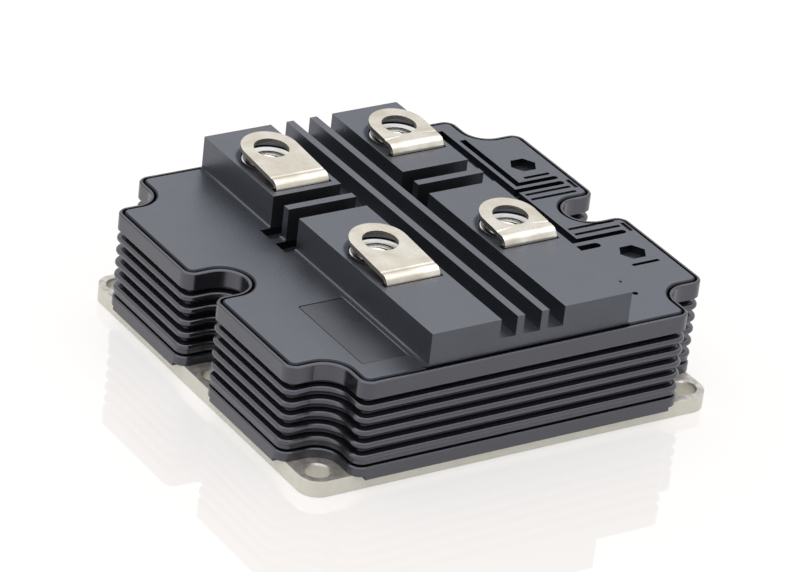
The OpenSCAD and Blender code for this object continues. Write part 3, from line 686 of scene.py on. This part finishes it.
# Painted shade on the rounded edge of the lid and in a ring round each nut, under the tabs.
rounded = turned_faces(lid_tree, BELOW_TOP, LEANING)
ring_shade = remap(lid_tree, reach_from_nut(lid_tree), SHADE_RING_R, SHADE_RING_R + SHADE_RING_FADE, 1.0, 0.0)
shaded_places = value_step(lid_tree, "MAXIMUM", rounded, ring_shade)
shade_painted = blend(lid_tree, shaded_places, feeds(lid_shader, "Base Color"), PAINTED_SHADE)
lid_tree.links.new(shade_painted, lid_shader.inputs["Base Color"])
print("lid has its dark places")

# %% [markdown]
# ### Painted highlights on the lid
# A small bead runs along the foot of the outer blocks, and the label's recess has a lip on the side of
# the block. Both get a painted highlight. Painting them by hand would need an image. Each lies in a box,
# though, so the mask is the largest of the three distances to the middle of that box, each measured in
# half widths of the box. The beads on the two sides share one box, folded over as the nuts were.

# %% Painted highlights on the beads and the lip
BEAD_MIDDLE = (0.03365, 0.0, 0.03555)
BEAD_HALF = (0.00034, 0.0560, 0.0003)
LIP_MIDDLE = (-0.03503, -0.03775, 0.0351)
LIP_HALF = (0.00022, 0.01745, 0.0003)
BOX_FADE = (0.9, 1.1)
# The colour of the painted highlights.
HIGHLIGHT_LINE = (0.19, 0.195, 0.205)


def box_mask(tree, place, middle, half):
    """A mask that is 1 inside a box and 0 outside it."""
    away = vector_step(tree, "ABSOLUTE", vector_step(tree, "SUBTRACT", place, middle))
    shares = tree.nodes.new("ShaderNodeSeparateXYZ")
    tree.links.new(vector_step(tree, "DIVIDE", away, half), shares.inputs["Vector"])
    flat = value_step(tree, "MAXIMUM", shares.outputs["X"], shares.outputs["Y"])
    furthest = value_step(tree, "MAXIMUM", flat, shares.outputs["Z"])
    return remap(tree, furthest, *BOX_FADE, 1.0, 0.0)


lid_place = lid_tree.nodes.new("ShaderNodeTexCoord").outputs["Object"]
# Painted highlights along the bead at the foot of the blocks and on the lip of the label's recess.
beads = box_mask(lid_tree, vector_step(lid_tree, "ABSOLUTE", lid_place), BEAD_MIDDLE, BEAD_HALF)
lip = box_mask(lid_tree, lid_place, LIP_MIDDLE, LIP_HALF)
highlight_places = value_step(lid_tree, "MAXIMUM", beads, lip)
highlighted = blend(lid_tree, highlight_places, feeds(lid_shader, "Base Color"), HIGHLIGHT_LINE)
lid_tree.links.new(highlighted, lid_shader.inputs["Base Color"])
print("lid has its pale lines")

# %% [markdown]
# ### Share of metal in the lid
# This is the dark metal that paints out the reflection of the shaded places, and the painted highlights
# lie over it. The upright walls of the blocks get a small share too, a painted shade that makes them a
# little darker than the tops. A higher roughness would not do it, because the room is white on all sides.

# %% Paint shade on the shaded places and the upright walls
# Shares of dark metal that paint out the sheen as shade.
SHADE_METAL = 0.85
WALL_SHADE_METAL = 0.2

bare_of_lines = remap(lid_tree, highlight_places, 0.0, 1.0, 1.0, 0.0)
shade_off_highlights = value_step(lid_tree, "MULTIPLY", shaded_places, bare_of_lines)
place_shade_metal = remap(lid_tree, shade_off_highlights, 0.0, 1.0, 0.0, SHADE_METAL)
# Painted shade on the upright walls of the blocks.
wall_shade_metal = remap(lid_tree, turned_faces(lid_tree, EVERY_HEIGHT, UPRIGHT), 0.0, 1.0, 0.0, WALL_SHADE_METAL)
lid_metal = value_step(lid_tree, "MAXIMUM", place_shade_metal, wall_shade_metal)
lid_tree.links.new(lid_metal, lid_shader.inputs["Metallic"])
print("lid_plastic has", len(lid_tree.nodes), "nodes")

# %% [markdown]
# ### The inside
# The lid hides the copper, the ceramic, the chips, the wires and the gel, and they show only when the
# module is taken apart. The metals reuse the plated finish in other colours, and the ceramic and the gel
# reuse the moulded one, so no new nodes are needed.

# %% Finishes of the inner pieces
GEL_CLEARNESS = 0.85

bare_copper = plated_metal(
    "bare_copper",
    deep=(0.55, 0.25, 0.13),
    bright=(0.72, 0.38, 0.22),
    dull=0.34,
    stretch=(1.0, 0.03, 1.0),
    line_height=0.00001,
    edge_radius=0.0001,
)
chip_face = plated_metal(
    "chip_face",
    deep=(0.24, 0.25, 0.29),
    bright=(0.36, 0.37, 0.42),
    dull=0.18,
    stretch=(1.0, 1.0, 1.0),
    line_height=0.000003,
    edge_radius=0.00005,
)
wire_metal = plated_metal(
    "wire_metal",
    deep=(0.70, 0.70, 0.70),
    bright=(0.84, 0.84, 0.83),
    dull=0.30,
    stretch=(0.05, 1.0, 1.0),
    line_height=0.000004,
    edge_radius=0.00005,
)
white_ceramic = moulded_plastic(
    "white_ceramic",
    dark=(0.70, 0.69, 0.65),
    pale=(0.80, 0.79, 0.76),
    fleck_and_edge=(0.86, 0.86, 0.84),
    dull=0.55,
    edge_radius=0.0001,
)
clear_gel = moulded_plastic(
    "clear_gel",
    dark=(0.80, 0.80, 0.76),
    pale=(0.88, 0.88, 0.85),
    fleck_and_edge=(0.92, 0.92, 0.90),
    dull=0.15,
    edge_radius=0.0004,
    index=1.41,
)
clear_gel.node_tree.nodes["Principled BSDF"].inputs["Transmission Weight"].default_value = GEL_CLEARNESS

# %% [markdown]
# ## Dressing the solids
# A solid keeps its CAD mesh and only gets a finish. Each could be named on a line of its own. The names
# start with the kind of piece, though, so a short table from the start of the name to the finish covers
# all of them.

# %% Give each solid its finish
FINISHES = {
    "base_plate": base_plating,
    "housing_frame": frame_plastic,
    "lid": lid_plastic,
    "cathode_terminal": terminal_plating,
    "anode_terminal": terminal_plating,
    "nut": nut_plating,
    "back_copper": bare_copper,
    "cathode_copper": bare_copper,
    "anode_track": bare_copper,
    "ceramic": white_ceramic,
    "chips": chip_face,
    "bond_wires": wire_metal,
    "silicone_gel": clear_gel,
}

for name, solid in nodes.items():
    start = [key for key in FINISHES if name.startswith(key)][0]
    solid.data.materials.clear()
    solid.data.materials.append(FINISHES[start])
print("dressed", len(nodes), "solids")

# %% [markdown]
# ## Blank label
# A thin blank plate lies in the shallow recess beside the front left block, pushed against the lip on the
# block's side. Its smooth face and the narrow gap on its other three sides make it show against the
# grained lid. A line drawn on the lid would look flat from the side. One face with rounded corners is
# enough: it is extruded into a thin plate and its upper edge is bevelled.

# %% Lay the blank label in its recess
LABEL_MIDDLE = (-0.04255, -0.03775)
LABEL_SIZE = (0.0147, 0.0349)
LABEL_GAP = 0.0003
LABEL_FLOOR = 0.0349
LABEL_THICK = 0.00035
LABEL_CORNER = 0.0006
LABEL_BEVEL = 0.00008

label_film = moulded_plastic(
    "label_film",
    dark=(0.012, 0.012, 0.013),
    pale=(0.016, 0.016, 0.017),
    fleck_and_edge=(0.10, 0.10, 0.11),
    dull=0.3,
    edge_radius=0.0001,
    relief=0.00002,
    index=1.85,
    tint=(0.80, 0.86, 1.0),
)


def add_piece(name, shape, material):
    """Make a bmesh an object with a finish, and print how well it is closed."""
    bmesh.ops.recalc_face_normals(shape, faces=shape.faces)
    open_edges = sum(1 for rim_edge in shape.edges if not rim_edge.is_manifold)
    mesh = bpy.data.meshes.new(name)
    shape.to_mesh(mesh)
    shape.free()
    mesh.materials.append(material)
    piece = bpy.data.objects.new(name, mesh)
    bpy.context.scene.collection.objects.link(piece)
    print(name, "has", len(mesh.polygons), "faces and", open_edges, "open edges")
    return piece


sheet = bmesh.new()
bmesh.ops.create_grid(sheet, x_segments=1, y_segments=1, size=0.5)
sheet_size = (LABEL_SIZE[0] - LABEL_GAP, LABEL_SIZE[1] - 2 * LABEL_GAP, 1.0)
bmesh.ops.scale(sheet, vec=sheet_size, verts=sheet.verts)
bmesh.ops.bevel(
    sheet, geom=list(sheet.verts), offset=LABEL_CORNER, offset_type="OFFSET", affect="VERTICES",
    segments=6, profile=0.5, material=-1)
risen = bmesh.ops.extrude_face_region(sheet, geom=list(sheet.faces), use_keep_orig=True)
top_verts = [item for item in risen["geom"] if isinstance(item, bmesh.types.BMVert)]
bmesh.ops.translate(sheet, vec=(0.0, 0.0, LABEL_THICK), verts=top_verts)
top_edges = [item for item in risen["geom"] if isinstance(item, bmesh.types.BMEdge)]
bmesh.ops.bevel(
    sheet, geom=top_edges, offset=LABEL_BEVEL, offset_type="OFFSET", affect="EDGES",
    segments=2, profile=0.5, material=-1)
sheet_place = (LABEL_MIDDLE[0] + LABEL_GAP / 2, LABEL_MIDDLE[1], LABEL_FLOOR)
bmesh.ops.translate(sheet, vec=sheet_place, verts=sheet.verts)
blank_label = add_piece("blank_label", sheet, label_film)
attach(blank_label, "root")

# %% [markdown]
# ## Screw threads
# The nuts are tapped, and the threads show as bright rings through the terminal holes. A thread is a
# ridge that climbs the bore as a screw. A screw modifier could turn it, but an operator leaves a finished
# mesh. A small four sided face is spun about the nut's axis, and a lift at each step turns the spin into
# a helix. The ridge starts just inside the metal of the bore, so there is no gap behind it. It runs out
# at the flat step below the nut's mouth and at its underside, where a plane cuts it off and the cut is
# closed. On the step lies the countersink that leads a screw in, a ring whose outline is spun once round.
# The radii of the bore and the mouth are those of the nut's solid.

# %% Helpers for the thread and the countersink
PITCH = 0.00125
BORE_R = 0.0040
CREST_R = 0.0034
ROOT_SHARE = 0.46
CREST_SHARE = 0.1
SINK = 0.00005
MOUTH_R = 0.0050
MOUTH_DEPTH = 0.0008
SLOPE_RISE = 0.00048
STEPS_PER_TURN = 48


def spin_ridge(shape, x, y, low_z, turns):
    """Spin the section of a thread upwards, from one pitch below a height."""
    first_z = low_z - PITCH
    corners = [
        (x + BORE_R + SINK, y, first_z - ROOT_SHARE * PITCH),
        (x + CREST_R, y, first_z - CREST_SHARE * PITCH),
        (x + CREST_R, y, first_z + CREST_SHARE * PITCH),
        (x + BORE_R + SINK, y, first_z + ROOT_SHARE * PITCH),
    ]
    section = shape.faces.new([shape.verts.new(corner) for corner in corners])
    bmesh.ops.spin(
        shape,
        geom=[section, *section.edges, *section.verts],
        cent=(x, y, 0.0),
        axis=(0.0, 0.0, 1.0),
        dvec=(0.0, 0.0, PITCH / STEPS_PER_TURN),
        angle=turns * 2 * math.pi,
        steps=turns * STEPS_PER_TURN,
        use_duplicate=False,
    )


def cut_off(shape, x, y, height, upward):
    """Cut away what lies past a height, and close the cut."""
    cut = bmesh.ops.bisect_plane(
        shape,
        geom=[*shape.verts, *shape.edges, *shape.faces],
        plane_co=(x, y, height),
        plane_no=(0.0, 0.0, upward),
        clear_outer=True,
    )
    cut_edges = [item for item in cut["geom_cut"] if isinstance(item, bmesh.types.BMEdge)]
    bmesh.ops.holes_fill(shape, edges=cut_edges, sides=0)


def spin_countersink(shape, x, y, step_z):
    """A ring on the step, sloping from the wall of the mouth down to the bore."""
    corners = [
        (x + BORE_R, y, step_z - SINK),
        (x + MOUTH_R + SINK, y, step_z - SINK),
        (x + MOUTH_R + SINK, y, step_z + SLOPE_RISE),
        (x + BORE_R, y, step_z),
    ]
    verts = [shape.verts.new(corner) for corner in corners]
    outline = [shape.edges.new((verts[turn - 1], verts[turn])) for turn in range(len(verts))]
    bmesh.ops.spin(
        shape,
        geom=[*verts, *outline],
        cent=(x, y, 0.0),
        axis=(0.0, 0.0, 1.0),
        angle=2 * math.pi,
        steps=STEPS_PER_TURN,
        use_merge=True,
        use_duplicate=False,
    )


print("a thread of", 1000 * PITCH, "mm pitch")

# %% Cut a thread in each nut


def screw_thread(name, nut):
    """The helical ridge in one nut's bore, with the countersink above it."""
    low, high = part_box(nut)
    x, y = nut_axis(nut)
    step_z = high[2] - MOUTH_DEPTH
    turns = math.ceil((step_z - low[2]) / PITCH) + 2
    shape = bmesh.new()
    spin_ridge(shape, x, y, low[2], turns)
    cut_off(shape, x, y, low[2], -1.0)
    cut_off(shape, x, y, step_z, 1.0)
    spin_countersink(shape, x, y, step_z)
    thread = add_piece(name, shape, thread_plating)
    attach(thread, "root")


for corner in ("back_left", "back_right", "front_left", "front_right"):
    screw_thread("thread_" + corner, "nut_" + corner)
